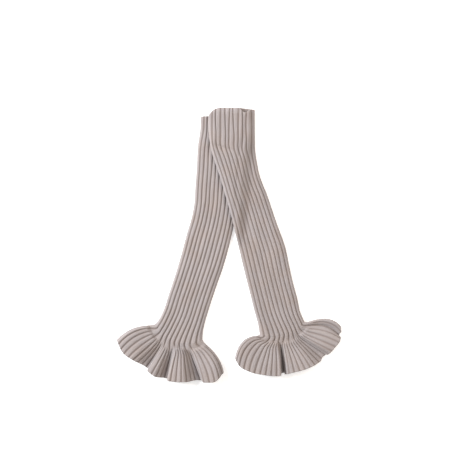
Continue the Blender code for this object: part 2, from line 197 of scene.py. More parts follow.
# Middle line of each tube from the mouth to the ruffle
# Columns: x, y, half of the flat width
LEFT_SPINE = (
    (-0.0114, 0.2455, 0.0420),
    (-0.0124, 0.2161, 0.0420),
    (-0.0177, 0.1857, 0.0410),
    (-0.0209, 0.1439, 0.0400),
    (-0.0238, 0.1059, 0.0400),
    (-0.0258, 0.0774, 0.0397),
    (-0.0313, 0.0451, 0.0400),
    (-0.0401, 0.0109, 0.0411),
    (-0.0505, -0.0272, 0.0408),
    (-0.0628, -0.0652, 0.0399),
    (-0.0754, -0.1032, 0.0399),
    (-0.0861, -0.1374, 0.0406),
    (-0.0905, -0.1505, 0.0425),
    (-0.0945, -0.1621, 0.0460),
)
RIGHT_SPINE = (
    (0.0051, 0.2616, 0.0432),
    (0.0051, 0.2237, 0.0432),
    (0.0059, 0.2047, 0.0426),
    (0.0080, 0.1857, 0.0410),
    (0.0110, 0.1705, 0.0392),
    (0.0167, 0.1477, 0.0369),
    (0.0226, 0.1249, 0.0358),
    (0.0285, 0.1059, 0.0364),
    (0.0352, 0.0869, 0.0374),
    (0.0428, 0.0622, 0.0383),
    (0.0494, 0.0394, 0.0393),
    (0.0555, 0.0185, 0.0406),
    (0.0646, -0.0120, 0.0424),
    (0.0733, -0.0500, 0.0419),
    (0.0806, -0.0804, 0.0414),
    (0.0885, -0.1108, 0.0418),
    (0.0950, -0.1374, 0.0412),
    (0.1002, -0.1554, 0.0435),
)

# How far each corner of the mouth hangs back from its middle: left corner, right corner
LEFT_MOUTH = (0.0020, 0.0020)
RIGHT_MOUTH = (0.0150, 0.0035)

# Where the upper lip of the mouth dips behind the lower one
# Columns: middle across, half width across, depth
LEFT_DIPS = ((0.20, 0.10, 0.0015),)
RIGHT_DIPS = ((0.785, 0.15, 0.0080),)

# Soft creases in the upper sheet of the tubes
# Columns: across and along of one end, across and along of the other, half width, depth
LEFT_CREASES = (
    (0.62, 0.20, 0.80, 0.42, 0.0050, 0.0010),
)
RIGHT_CREASES = (
    (0.04, 0.150, 0.52, 0.190, 0.0038, 0.0022),
    (0.30, 0.36, 0.28, 0.62, 0.0045, 0.0013),
)

# How far the middle of the seam lies beyond its ends
LEFT_SAG = 0.021
RIGHT_SAG = 0.013

# How far the ribs lean towards the left fold at the seam, as a share across
LEFT_LEAN = 0.06
RIGHT_LEAN = -0.06

# Kink where the ribs of the right tube turn: along at its left and right end, push to the left
RIGHT_KINK = (0.145, 0.205, 0.0024)

# Hem of each ruffle seen from above, from the left fold round to the right fold
# Columns: x, y
LEFT_HEM = (
    (-0.2128, -0.1792),
    (-0.2014, -0.2027),
    (-0.1824, -0.2172),
    (-0.1558, -0.2362),
    (-0.1368, -0.2502),
    (-0.1064, -0.2569),
    (-0.0760, -0.2577),
    (-0.0456, -0.2589),
    (-0.0266, -0.2577),
    (-0.0105, -0.2417),
)
RIGHT_HEM = (
    (0.0118, -0.2143),
    (0.0190, -0.2277),
    (0.0399, -0.2390),
    (0.0627, -0.2439),
    (0.0988, -0.2458),
    (0.1178, -0.2409),
    (0.1463, -0.2333),
    (0.1767, -0.2172),
    (0.1995, -0.1943),
    (0.2118, -0.1773),
    (0.2124, -0.1545),
)

# Place that each ruffle's left and right fold bends towards on its way to the hem
LEFT_FOLD_BENDS = ((-0.1622, -0.1250), (-0.0209, -0.1790))
RIGHT_FOLD_BENDS = ((0.0270, -0.1330), (0.1740, -0.1050))

# How much the ribs of each ruffle spread at once and then run side by side, and which way they run back
# Columns: share of the hem, amount, way back x, way back y
LEFT_SPREAD = (
    (0.00, 0.0, 0.95, 0.30),
    (0.10, 0.5, 0.85, 0.53),
    (0.25, 0.6, 0.80, 0.60),
    (0.34, 0.5, 0.60, 0.80),
    (0.45, 0.6, 0.42, 0.91),
    (0.55, 0.6, 0.12, 0.99),
    (0.70, 0.6, 0.00, 1.00),
    (0.84, 0.5, -0.25, 0.97),
    (1.00, 0.0, -0.40, 0.92),
)
RIGHT_SPREAD = (
    (0.00, 0.3, 0.40, 0.92),
    (0.10, 0.6, 0.30, 0.95),
    (0.25, 0.7, 0.10, 0.99),
    (0.38, 0.7, 0.00, 1.00),
    (0.50, 0.6, -0.20, 0.98),
    (0.65, 0.6, -0.50, 0.87),
    (0.80, 0.5, -0.80, 0.60),
    (0.92, 0.3, -0.95, 0.31),
    (1.00, 0.0, -1.00, 0.00),
)

# Waves of each ruffle's upper sheet, as shares of the hem
# Columns: start of the rise, start and end of the crest, end of the fall, height,
# share along at which it steps up and its ribs split, share of its height in that step
LEFT_WAVES = (
    (-0.10, 0.00, 0.170, 0.340, 0.0150, 0.34, 0.20),
    (0.342, 0.354, 0.395, 0.522, 0.0165, 0.38, 0.10),
    (0.524, 0.537, 0.640, 0.800, 0.0200, 0.21, 0.38),
    (0.804, 0.818, 0.930, 1.050, 0.0170, 0.27, 0.20),
)
RIGHT_WAVES = (
    (-0.10, 0.00, 0.372, 0.384, 0.0190, 0.26, 0.25),
    (0.400, 0.440, 0.600, 0.745, 0.0165, 0.34, 0.15),
    (0.748, 0.800, 0.890, 0.940, 0.0140, 0.30, 0.20),
    (0.945, 0.965, 0.985, 1.010, 0.0045, 0.34, 0.15),
)

# Lights of the studio: place from the middle of the view, size, colour
MAIN_LIGHT = ((-1.9, 0.7, 1.38), 1.3, (0.94, 0.975, 1.0))
FILL_LIGHT = ((1.4, 0.5, 1.4), 1.2, (1.0, 0.88, 0.76))

# Floor, camera and the light from all around
SURROUND_COLOUR = (1.0, 0.98, 0.96, 1.0)
FLOOR_HALF = 4.0
FLOOR_GAP = 0.0002
FLOOR_ROUGHNESS = 0.9
MOTTLE_SCALE = 6.0
MOTTLE_ROUGHNESS = 0.05
SENSOR_MILLIMETRES = 36.0
CLIP_NEAR = 0.05
CLIP_FAR = 20.0


def smooth(share):
    """Ease from 0 to 1 with level ends: 3 s squared less 2 s cubed."""
    share = np.clip(share, 0.0, 1.0)
    return share * share * (3.0 - 2.0 * share)


def shoulder(distance, reach):
    """Quarter ellipse from 0 at the fold to 1 at the reach and beyond."""
    share = np.clip(distance / reach, 0.0, 1.0)
    return np.sqrt(1.0 - (1.0 - share) ** 2)


def unit(vectors):
    """Vectors divided by their lengths."""
    return vectors / np.maximum(np.linalg.norm(vectors, axis=-1, keepdims=True), LEAST_LENGTH)


def running_lengths(points):
    """Length of the line through the points, from the first one to each of them."""
    steps = np.linalg.norm(np.diff(points, axis=0), axis=1)
    return np.concatenate([[0.0], np.cumsum(steps)])


def curve_through(rows, share):
    """Cubic curve through the rows, read at shares of its length, with slopes from neighbouring rows."""
    rows = np.asarray(rows, float)
    lengths = running_lengths(rows[:, :2])
    knots = lengths / lengths[-1]
    slopes = np.gradient(rows, knots, axis=0)
    share = np.clip(share, 0.0, 1.0)
    cell = np.clip(np.searchsorted(knots, share, side="right") - 1, 0, len(knots) - 2)
    span = (knots[cell + 1] - knots[cell])[..., None]
    t = (share - knots[cell])[..., None] / span
    start = (1 + 2 * t) * (1 - t) ** 2 * rows[cell] + t * (1 - t) ** 2 * span * slopes[cell]
    end = t * t * (3 - 2 * t) * rows[cell + 1] - t * t * (1 - t) * span * slopes[cell + 1]
    return start + end


def with_height(plan, height):
    """Join plan places and heights into points."""
    height = np.broadcast_to(height, plan.shape[:-1])
    return np.concatenate([plan, height[..., None]], axis=-1)


def rib_profile(phase):
    """Height share of a rib: a power of the sine of its phase, with a shallow divide between its two wales.

    It runs straight between the rib steps, so that a rib has one form however many columns cross it.
    """
    steps = np.append(RIB_STEPS, 1.0)
    body = np.abs(np.sin(np.pi * steps)) ** RIB_SHARPNESS
    divide = WALE_DIVIDE * np.exp(-(((steps - 0.5) / WALE_DIVIDE_WIDTH) ** 2))
    return np.interp(phase % 1.0, steps, body * (1.0 - divide))


def wale_place(phase):
    """Distance from the middle of the nearest wale in half widths: 0 on the middle, 1 at its edge."""
    from_middle = np.abs(phase % 1.0 - 0.5)
    return np.minimum(np.abs(from_middle - WALE_MIDDLE) / WALE_HALF, 1.0)


class Tube:
    """Flattened ribbed tube along a spine.

    Its ribs are evenly spaced at even_at, by distances weighted in x, y and z by even_weights.
    """

    ribs = TUBE_RIBS
    rib_start = RIB_START
    even_weights = (1.0, 1.0, 0.0)
    under_steps = TUBE_UNDER_STEPS
    inner_rows = TUBE_INNER_ROWS
    even_at = 0.5
    open_start = True
    open_end = False

    def __init__(self, spine, mouth, dips, creases, sag, lean, kink=None):
        self.spine = spine
        self.mouth = mouth
        self.dips = dips
        self.creases = creases
        self.sag = sag
        self.lean = lean
        self.kink = kink
        self.length = running_lengths(np.array(spine)[:, :2])[-1]

    def line(self, along):
        """Centre, way along, way across and half width of the tube."""
        here = curve_through(self.spine, along)
        ahead = curve_through(self.spine, np.minimum(along + SMALL_STEP, 1.0))
        behind = curve_through(self.spine, np.maximum(along - SMALL_STEP, 0.0))
        way = unit((ahead - behind)[..., :2])
        side = np.stack([-way[..., 1], way[..., 0]], axis=-1)
        return here[..., :2], way, side, here[..., 2]

    def plan(self, across, along):
        """Place seen from above: centre plus side by half width, its mouth corners hanging back a little."""
        centre, way, side, half = self.line(along)
        left_drop = self.mouth[0] * np.clip(1.0 - across / MOUTH_CORNER, 0.0, 1.0) ** 3
        right_drop = self.mouth[1] * np.clip(1.0 - (1.0 - across) / MOUTH_CORNER, 0.0, 1.0)
        drop = (left_drop + right_drop) * smooth(1.0 - along / MOUTH_REACH)
        return centre + side * ((2 * across - 1) * half)[..., None] + way * drop[..., None]

    def sheet(self, across, along):
        """Upper sheet without ribs, with its dips, kink and creases, and its sag and rise at the seam."""
        across, along = np.broadcast_arrays(across, along)
        plan = self.plan(across, along)
        way, side = self.line(along)[1:3]
        dip = np.zeros_like(across)
        for middle, half_width, depth in self.dips:
            dip = dip + depth * (1.0 - smooth(np.abs(across - middle) / half_width))
        dip = dip * smooth(1.0 - along / MOUTH_REACH)
        near_seam = smooth((along - SAG_FROM) / (1.0 - SAG_FROM))
        sag = self.sag * (1.0 - np.abs(2.0 * across - 1.0) ** 3) * near_seam
        plan = plan + way * (dip + sag)[..., None] - side * self.push(across, along)[..., None]
        neck = NECK_RISE * smooth((along - NECK_FROM) / (1.0 - NECK_FROM))
        return with_height(plan, TUBE_HEIGHT + neck - self.crease(across, along))

    def push(self, across, along):
        """Sideways push at the kink: a bell of the distance from its line, nothing at the folds."""
        if self.kink is None:
            return np.zeros_like(across)
        left_along, right_along, most = self.kink
        away = (along - left_along - (right_along - left_along) * across) * self.length
        sides = smooth(np.minimum(across, 1.0 - across) / CALM_SIDES)
        return most * sides * np.exp(-((away / KINK_REACH) ** 2))

    def crease(self, across, along):
        """Depth of the creases: a bell of the distance from each one's line, fading along it by a sine."""
        place = np.stack([across * self.girth(0.5), along * self.length], axis=-1)
        depth = np.zeros_like(across)
        for across_a, along_a, across_b, along_b, half_width, full in self.creases:
            start = np.array([across_a * self.girth(0.5), along_a * self.length])
            end = np.array([across_b * self.girth(0.5), along_b * self.length])
            line = end - start
            t = np.clip(((place - start) @ line) / (line @ line), 0.0, 1.0)
            away = np.linalg.norm(place - start - t[..., None] * line, axis=-1)
            fade = np.sin(np.pi * (CREASE_END + (1.0 - 2.0 * CREASE_END) * t))
            depth = depth + full * np.exp(-((away / half_width) ** 2)) * fade
        return depth

    def under_plan(self, across, along):
        """Underside seen from above."""
        across, along = np.broadcast_arrays(across, along)
        return self.plan(across, along)

    def girth(self, along):
        """Length from fold to fold over the upper sheet."""
        return 2 * self.line(np.asarray(along, float))[3]

    def reach(self, along):
        """How far in from the fold the sheet comes up to its height."""
        return TUBE_SHOULDER + 0 * along

    def shares(self, phases, along):
        """Share across of each rib phase: even, with a little wander of sines and a lean at the seam."""
        even = even_shares(self, phases)
        swing = 0.0
        for turns_across, turns_along in WANDER_SINES:
            swing = swing + np.sin(2 * np.pi * (turns_across * phases + turns_along * along))
        swing = swing * (1.0 + MOUTH_WANDER * smooth(1.0 - along / MOUTH_WANDER_REACH))
        calm = smooth(np.minimum(even, 1.0 - even) / CALM_SIDES) * smooth((1.0 - along) / (1.0 - SAG_FROM))
        lean = self.lean * np.sin(np.pi * even) * smooth((along - LEAN_FROM) / (1.0 - LEAN_FROM))
        return even + WANDER * swing * calm - lean * (phases < self.ribs)

    def rib_relief(self, phases, along, knit):
        """Height of the ribs over the sheet: from the groove depth up to the rib height."""
        gather = 1.0 + GATHER_DEPTH * smooth((along - GATHER_FROM) / (1.0 - GATHER_FROM))
        depth = (knit.rib_height + knit.groove_depth) * gather
        return knit.rib_height - (1.0 - rib_profile(phases + self.rib_start)) * depth

    def crest(self, phases, along):
        """Height share of the ribs."""
        return rib_profile(phases + self.rib_start) + 0 * along

    def wale(self, phases, along):
        """Place of each phase in its wale."""
        return wale_place(phases + self.rib_start) + 0 * along

    def leg_size(self, along):
        """Size of the stitches as a share of full size."""
        return 1.0 + 0 * along


class Ruffle:
    """Ruffle that fans out from the lower end of a tube to a wavy hem."""

    ribs = RUFFLE_RIBS
    rib_start = RIB_START * RIB_SPLIT
    even_weights = (1.0, 1.0, 1.0)
    under_steps = RUFFLE_UNDER_STEPS
    inner_rows = RUFFLE_INNER_ROWS
    even_at = 1.0
    open_start = False
    open_end = True

    def __init__(self, tube, hem, fold_bends, spread, waves):
        self.tube = tube
        self.hem = hem
        self.fold_bends = fold_bends
        self.spread = np.array(spread)
        self.waves = waves
        dense = np.linspace(0.0, 1.0, DENSE_STEPS)
        line = with_height(self.hem_plan(dense), self.wave(dense, 1.0))
        lengths = running_lengths(line)
        self.hem_length = lengths[-1]
        self.hem_shares = dense
        self.length_shares = lengths / lengths[-1]
        self.length = np.linalg.norm(self.hem_plan(np.array(0.5)) - tube.line(np.array(1.0))[0])

    def crests(self, share):
        """Each wave's rise at a share of the hem, its full height, and the place and share of its step."""
        for rise_from, crest_from, crest_to, fall_to, top, step_at, step_share in self.waves:
            rise = smooth((share - rise_from) / (crest_from - rise_from))
            fall = smooth((fall_to - share) / (fall_to - crest_to))
            yield np.minimum(rise, fall), top, step_at, step_share

    def wave(self, share, along):
        """Height of the waves: each rises, crests and falls across, and grows and steps up along."""
        height = np.zeros(np.broadcast_shapes(np.shape(share), np.shape(along)))
        for risen, top, step_at, step_share in self.crests(share):
            step = smooth(0.5 + (along - step_at) / (2 * STEP_REACH))
            grown = step_share * step + (1 - step_share) * smooth((along - GROW_FROM) / (1.0 - GROW_FROM))
            height = height + top * risen * grown
        return height

    def splitting(self, phases, along):
        """How far each rib of the tube has split into narrower ones, around where its wave steps up."""
        share = np.interp(even_shares(self, phases), self.length_shares, self.hem_shares)
        split_at = np.full(np.shape(share), SPLIT_AT)
        for risen, _, step_at, _ in self.crests(share):
            split_at = split_at + (step_at - SPLIT_AT) * risen
        return smooth(0.5 + (along - split_at) / (2 * SPLIT_REACH))

    def hem_plan(self, share):
        """Hem of the upper sheet seen from above, set back where it lies in a valley."""
        place = curve_through(self.hem, share)
        ends = smooth(np.minimum(share, 1.0 - share) / END_SHARE)
        lowest = min(top for _, top, _, _ in self.crests(share))
        lowness = 1.0 - np.clip(self.wave(share, 1.0) / lowest, 0.0, 1.0)
        return place + self.inward(place) * (VALLEY_RECESS * ends * lowness)[..., None]

    def inward(self, place):
        """Unit way from a place on the hem back to the seam's middle."""
        return unit(self.tube.line(np.array(1.0))[0] - place)

    def lead(self, start_share):
        """Unit way that the tube's ribs run in where they come to the seam."""
        end = np.ones_like(start_share)
        return unit(self.tube.plan(start_share, end) - self.tube.plan(start_share, end - SMALL_STEP))

    def ray(self, start, start_share, hem_place, share, along):
        """Cubic curve that leaves the seam as the tube's ribs run, then turns to its place on the hem."""
        lead = self.lead(start_share)
        reach = np.linalg.norm(hem_place - start, axis=-1, keepdims=True)
        bend = start + lead * reach * RAY_BEND
        amount, back_x, back_y = (np.interp(share, self.spread[:, 0], self.spread[:, k]) for k in (1, 2, 3))
        back = np.stack([back_x, back_y], axis=-1)
        bend = bend + (hem_place + back * reach * SPREAD_BEND - bend) * amount[..., None]
        near_left = smooth(1.0 - start_share / FOLD_BEND_SHARE)[..., None]
        near_right = smooth(1.0 - (1.0 - start_share) / FOLD_BEND_SHARE)[..., None]
        bend = bend + (np.array(self.fold_bends[0]) - bend) * near_left
        bend = bend + (np.array(self.fold_bends[1]) - bend) * near_right
        near = start + lead * LEAD_SHARE * reach * RAY_BEND
        far = hem_place + (bend - hem_place) * FAR_BEND_SHARE
        t = along[..., None]
        first = (1 - t) ** 3 * start + 3 * t * (1 - t) ** 2 * near
        return first + 3 * t * t * (1 - t) * far + t**3 * hem_place

    def sheet(self, across, along):
        """Upper sheet without ribs: down from the neck to the valleys, and the waves above them."""
        across, along = np.broadcast_arrays(across, along)
        share = np.interp(across, self.length_shares, self.hem_shares)
        start = self.tube.sheet(across, np.ones_like(across))[..., :2]
        plan = self.ray(start, across, self.hem_plan(share), share, along)
        neck = TUBE_HEIGHT + NECK_RISE
        valley = neck + (VALLEY_HEIGHT - neck) * smooth(along / VALLEY_REACH)
        return with_height(plan, valley + self.wave(share, along))

    def under_plan(self, across, along):
        """Underside seen from above, a little short of the upper hem."""
        across, along = np.broadcast_arrays(across, along)
        place = curve_through(self.hem, across)
        ends = smooth(np.minimum(across, 1.0 - across) / END_SHARE)
        place = place + self.inward(place) * (UNDER_RECESS * ends)[..., None]
        start = self.tube.plan(across, np.ones_like(across))
        return self.ray(start, across, place, across, along)

    def girth(self, along):
        """Length from fold to fold over the upper sheet."""
        seam = 2 * self.tube.line(np.array(1.0))[3]
        return seam + (self.hem_length - seam) * np.asarray(along, float)

    def reach(self, along):
        """How far in from the fold the sheet comes up to its height."""
        return TUBE_SHOULDER + (RUFFLE_SHOULDER - TUBE_SHOULDER) * smooth(along / VALLEY_REACH)

    def shares(self, phases, along):
        """Share across of each rib phase: the tube's own shares at the seam, even ones from there on."""
        at_seam = self.tube.shares(phases / RIB_SPLIT, np.ones(1))
        at_hem = even_shares(self, phases)
        return at_seam + (at_hem - at_seam) * smooth(along / EVEN_REACH)

    def rib_relief(self, phases, along, knit):
        """Ribs of the tube at the seam, each split into three narrower ones further on."""
        gather = 1.0 + GATHER_DEPTH * (1.0 - smooth(along / GATHER_TO))
        depth = (knit.rib_height + knit.groove_depth) * gather
        return knit.rib_height - (1.0 - self.crest(phases, along)) * depth

    def crest(self, phases, along):
        """Height share of the ribs, from the tube's to the split ones."""
        whole = rib_profile(phases / RIB_SPLIT + RIB_START)
        return whole + (rib_profile(phases + self.rib_start) - whole) * self.splitting(phases, along)

    def wale(self, phases, along):
        """Place of each phase in its wale, from the tube's to the split ones."""
        whole = wale_place(phases / RIB_SPLIT + RIB_START)
        return whole + (wale_place(phases + self.rib_start) - whole) * self.splitting(phases, along)

    def leg_size(self, along):
        """Size of the stitches as a share of full size, less at the seam, where they are drawn in."""
        return SEAM_LEG_SIZE + (1.0 - SEAM_LEG_SIZE) * smooth(along / EVEN_REACH)


def outer_base(piece, across, along):
    """Upper outer side without its ribs, rounded down to the folds by a quarter ellipse."""
    points = piece.sheet(across, along)
    edge = np.minimum(across, 1.0 - across) * piece.girth(along)
    rise = shoulder(edge, piece.reach(along))
    points[..., 2] = FOLD_HEIGHT + (points[..., 2] - FOLD_HEIGHT) * rise
    return points


def under_base(piece, across, along):
    """Outer underside, flat on the floor and rounded up to the folds by a quarter ellipse."""
    edge = np.minimum(across, 1.0 - across) * piece.girth(along)
    height = FOLD_HEIGHT * (1.0 - shoulder(edge, LOWER_FOLD_WIDTH))
    return with_height(piece.under_plan(across, along), height)


def even_shares(piece, phases):
    """Shares across at which ring phases lie, evenly spaced from fold to fold on the top and underneath.

    The tube's are even as seen from above, the ruffle's along its cloth.
    """
    dense = np.linspace(0.0, 1.0, DENSE_STEPS)
    at = np.full(1, piece.even_at)
    found = []
    for surface in (outer_base, under_base):
        lengths = running_lengths(surface(piece, dense, at) * piece.even_weights)
        found.append(lengths / lengths[-1])
    top = np.interp(phases / piece.ribs, found[0], dense)
    under = np.interp(2.0 - phases / piece.ribs, found[1], dense)
    return np.where(phases < piece.ribs, top, under)


def ring_phases(piece):
    """Phases of the columns round the ring: close on the upper sheet, wider apart underneath."""
    whole = np.arange(np.ceil(piece.ribs) + 1.0) - piece.rib_start
    top = (whole[:, None] + np.array(RIB_STEPS)).ravel()
    top = top[(top > -SMALL_STEP) & (top < piece.ribs - SMALL_STEP)]
    count = int(round(piece.ribs * piece.under_steps))
    under = piece.ribs + np.arange(count) / piece.under_steps
    return np.concatenate([top, under])


def grid_normals(points):
    """Unit normals of a closed ring grid, from the cross product of its two central differences."""
    round_ring = np.roll(points, -1, axis=1) - np.roll(points, 1, axis=1)
    along_ring = np.gradient(points, axis=0)
    return unit(np.cross(along_ring, round_ring))


def outer_grid(piece, knit):
    """Outer side: the plain ring plus ribs and stitch legs along its normals.

    Gives its points, their crests, the phase of each column and the course of each row.
    Rows come in pairs, one between two courses and one on top of a course. Each column's rows are moved
    along by its place in the wale, so that they run down both legs of every stitch.
    """
    phases = ring_phases(piece)[None, :]
    courses = int(round(piece.length / knit.course_height))
    row = np.arange(2 * courses + 1)[:, None]
    start = LIP_RADIUS / piece.length if piece.open_start else -SEAM_TUCK
    end = 1.0 - LIP_RADIUS / piece.length if piece.open_end else 1.0
    inside = smooth(np.minimum(row, 2 * courses - row) / END_ROWS)
    place = piece.wale(phases, row / (2 * courses))
    along = start + (end - start) * (row + LEG_SLANT_ROWS * (0.5 - place) * inside) / (2 * courses)
    across = piece.shares(phases, along)
    top = phases < piece.ribs
    base = np.where(top[..., None], outer_base(piece, across, along), under_base(piece, across, along))
    sides = 1.0 - (2.0 * place - 1.0) ** 2 * LEG_SIDE_DROP
    leg = knit.leg_relief * (row % 2 - 0.5) * inside * piece.leg_size(along) * sides
    upper = piece.rib_relief(phases, along, knit) + leg
    lower = (piece.crest(phases, along) - 1.0) * UNDER_GROOVE_DEPTH + 0.5 * (leg - np.abs(leg))
    edge = np.minimum(across, 1.0 - across) * piece.girth(along)
    below = np.where(top, 0.0, smooth(edge / LOWER_FOLD_WIDTH))
    relief = upper + (lower - upper) * below
    points = base + grid_normals(base) * relief[..., None]
    points[..., 2] = np.maximum(points[..., 2], 0.0)
    return points, piece.crest(phases, along), phases[0], row[:, 0] / 2.0


def inner_grid(piece, rows):
    """Inner side, plain: the upper sheet less its wall, and the floor of the underside, on the same columns.

    Its rows run backwards, so its normals point into the tube.
    """
    phases = ring_phases(piece)[None, :]
    start = LIP_RADIUS / piece.length if piece.open_start else 0.0
    end = 1.0 - LIP_RADIUS / piece.length if piece.open_end else 1.0
    along = np.linspace(end, start, rows)[:, None]
    across = piece.shares(phases, along)
    along = along + 0 * across
    girth = piece.girth(along)
    margin = SIDE_WALL / girth
    inside = margin + (1.0 - 2.0 * margin) * across
    sheet = piece.sheet(inside, along)
    edge = np.minimum(across, 1.0 - across) * (1.0 - 2.0 * margin) * girth
    rise = shoulder(edge, piece.reach(along) - SIDE_WALL)
    sheet = sheet + grid_normals(sheet) * WALL * np.minimum(2.0 * rise, 1.0)[..., None]
    sheet[..., 2] = FOLD_HEIGHT + (sheet[..., 2] - FOLD_HEIGHT) * rise
    edge = np.minimum(across, 1.0 - across) * girth
    height = UNDER_WALL + (FOLD_HEIGHT - UNDER_WALL) * (1.0 - shoulder(edge, INNER_FOLD_WIDTH))
    floor = with_height(piece.under_plan(inside, along), height)
    top = (phases < piece.ribs) & (rise > 0)
    points = np.where(top[..., None], sheet, floor)
    # The inner side's crests are scaled down as painted shade, so the inside takes the darker groove colour
    return points, INSIDE_PAINTED_SHADE * piece.crest(phases, along), along[:, 0]


def lip_rows(outer, beyond, inner, phases, is_open):
    """Half round from an outer edge row to an inner one, swelling at every stitch, or flat at a seam."""
    if not is_open:
        return np.zeros((0, *outer.shape))
    turn = np.pi * np.arange(1, LIP_STEPS + 1)[:, None, None] / (LIP_STEPS + 1)
    middle = (outer + inner) / 2
    half = (outer - inner) / 2
    swell = 1.0 + LIP_SCALLOP * (np.abs(np.sin(np.pi * LIP_STITCHES * phases)) - 0.5)
    out = unit(outer - beyond) * (LIP_RADIUS * swell)[:, None]
    return middle + half * np.cos(turn) + out * np.sin(turn)


def drape(points, under, knit):
    """Lift points onto the tube underneath by its height at the same y, and ease them down beside it."""
    dense = np.linspace(1.0, 0.0, DENSE_STEPS)
    centre, way, _, half = under.line(dense)
    y = points[..., 1]
    middle = np.interp(y, centre[:, 1], centre[:, 0])
    straight = np.interp(y, centre[:, 1], np.abs(way[:, 1]))
    half = np.interp(y, centre[:, 1], half)
    edge = half - np.abs(points[..., 0] - middle) * straight
    beyond = np.maximum(y - centre[-1, 1], 0.0)
    rise = shoulder(np.maximum(edge, DRAPE_EDGE), TUBE_SHOULDER)
    height = FOLD_HEIGHT + (TUBE_HEIGHT - FOLD_HEIGHT) * rise
    outside = np.hypot(np.maximum(-edge - DRAPE_EDGE, 0.0), np.maximum(beyond - DRAPE_EDGE, 0.0))
    lift = (height + knit.rib_height + CLEARANCE) * (1.0 - smooth(outside / DRAPE_REACH))
    lifted = points.copy()
    lifted[..., 2] += lift
    return lifted


def shell_grid(piece, knit, under):
    """Whole shell as one grid that runs out over the outer side, round the lip and back inside.

    Gives its points, their crests, the course of each row, the rib phases, and which faces are smooth:
    all but those that close a seam end.
    """
    outer, outer_crest, phases, courses = outer_grid(piece, knit)
    inner, inner_crest, inner_along = inner_grid(piece, piece.inner_rows)
    far_lip = lip_rows(outer[-1], outer[-3], inner[0], phases, piece.open_end)
    near_lip = lip_rows(outer[0], outer[2], inner[-1], phases, piece.open_start)[::-1]
    points = np.concatenate([outer, far_lip, inner, near_lip])
    if under is not None:
        points = drape(points, under, knit)
    far_crest = np.broadcast_to(outer_crest[-1], far_lip.shape[:2])
    near_crest = np.broadcast_to(outer_crest[0], near_lip.shape[:2])
    crest = np.concatenate([outer_crest, far_crest, inner_crest, near_crest])
    far_courses = courses[-1] + np.arange(len(far_lip)) + 1.0
    near_courses = -1.0 - np.arange(len(near_lip))[::-1]
    course = np.concatenate([courses, far_courses, inner_along * courses[-1], near_courses])
    soft = np.ones(points.shape[:2], dtype=bool)
    soft[len(outer) - 1] = piece.open_end
    soft[-1] = piece.open_start
    return points, crest, course, phases, soft


def ring_faces(points, course, phases, piece):
    """Outward faces of a grid that closes both ways, and their UV: rib phase round, course along."""
    rows, columns = points.shape[:2]
    i = np.arange(rows)[:, None]
    j = np.arange(columns)[None, :]
    next_i = (i + 1) % rows
    next_j = (j + 1) % columns
    corners = [(i, j), (i, next_j), (next_i, next_j), (next_i, j)]
    faces = np.stack([a * columns + b + 0 * (i + j) for a, b in corners], axis=-1).reshape(-1, 4)
    ring = np.append(phases, phases[0] + 2 * piece.ribs) + piece.rib_start
    round_phase = np.stack([ring[j + k] + 0 * i for k in (0, 1, 1, 0)], axis=-1)
    along_course = np.stack([course[k] + 0.0 * j for k in (i, i, next_i, next_i)], axis=-1)
    uv = np.stack([round_phase.reshape(-1, 4), along_course.reshape(-1, 4)], axis=-1)
    flat = points.reshape(-1, 3)
    a, b, c, d = (flat[faces[:, k]] for k in range(4))
    volume = (np.cross(b - a, c - a) * a).sum() + (np.cross(c - a, d - a) * a).sum()
    if volume < 0:
        return faces[:, ::-1], uv[:, ::-1]
    return faces, uv


def knit_mesh(name, piece, knit, under):
    """Mesh of one knitted piece, with its UV map and the crest of each point."""
    points, crest, course, phases, soft = shell_grid(piece, knit, under)
    faces, uv = ring_faces(points, course, phases, piece)
    mesh = bpy.data.meshes.new(name)
    mesh.vertices.add(crest.size)
    mesh.vertices.foreach_set("co", points.astype(np.float32).ravel())
    mesh.loops.add(faces.size)
    mesh.loops.foreach_set("vertex_index", faces.astype(np.int32).ravel())
    mesh.polygons.add(len(faces))
    mesh.polygons.foreach_set("loop_start", np.arange(0, faces.size, 4, dtype=np.int32))
    mesh.polygons.foreach_set("loop_total", np.full(len(faces), 4, dtype=np.int32))
    mesh.polygons.foreach_set("use_smooth", soft.ravel())
    mesh.update(calc_edges=True)
    mesh.uv_layers.new(name="knit").data.foreach_set("uv", uv.astype(np.float32).ravel())
    values = mesh.attributes.new("crest", "FLOAT", "POINT")
    values.data.foreach_set("value", crest.astype(np.float32).ravel())
    mesh.validate()
    return mesh


def knit_object(name, node, piece, knit, under=None):
    """One knitted piece, which stands for its solid."""
    mesh = knit_mesh(name, piece, knit, under)
    mesh.materials.append(knit_material(node + "_yarn", knit))
    item = bpy.data.objects.new(name, mesh)
    bpy.context.scene.collection.objects.link(item)
    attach(item, "root")
    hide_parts(node)
    return item


class Channel:
    """Shader socket in arithmetic: every operator adds a Math node to its tree."""

    def __init__(self, shader, socket):
        self.shader = shader
        self.socket = socket

    def maths(self, operation, *others):
        """Math node of this socket and the others."""
        values = dict(enumerate((self, *others)))
        return self.shader.node("ShaderNodeMath", {"operation": operation}, values)

    def __add__(self, other):
        return self.maths("ADD", other)

    __radd__ = __add__

    def __sub__(self, other):
        return self.maths("SUBTRACT", other)

    def __rsub__(self, other):
        return self.shader.node("ShaderNodeMath", {"operation": "SUBTRACT"}, {0: other, 1: self})

    def __mul__(self, other):
        return self.maths("MULTIPLY", other)

    def __pow__(self, other):
        return self.maths("POWER", other)

    def __abs__(self):
        return self.maths("ABSOLUTE")


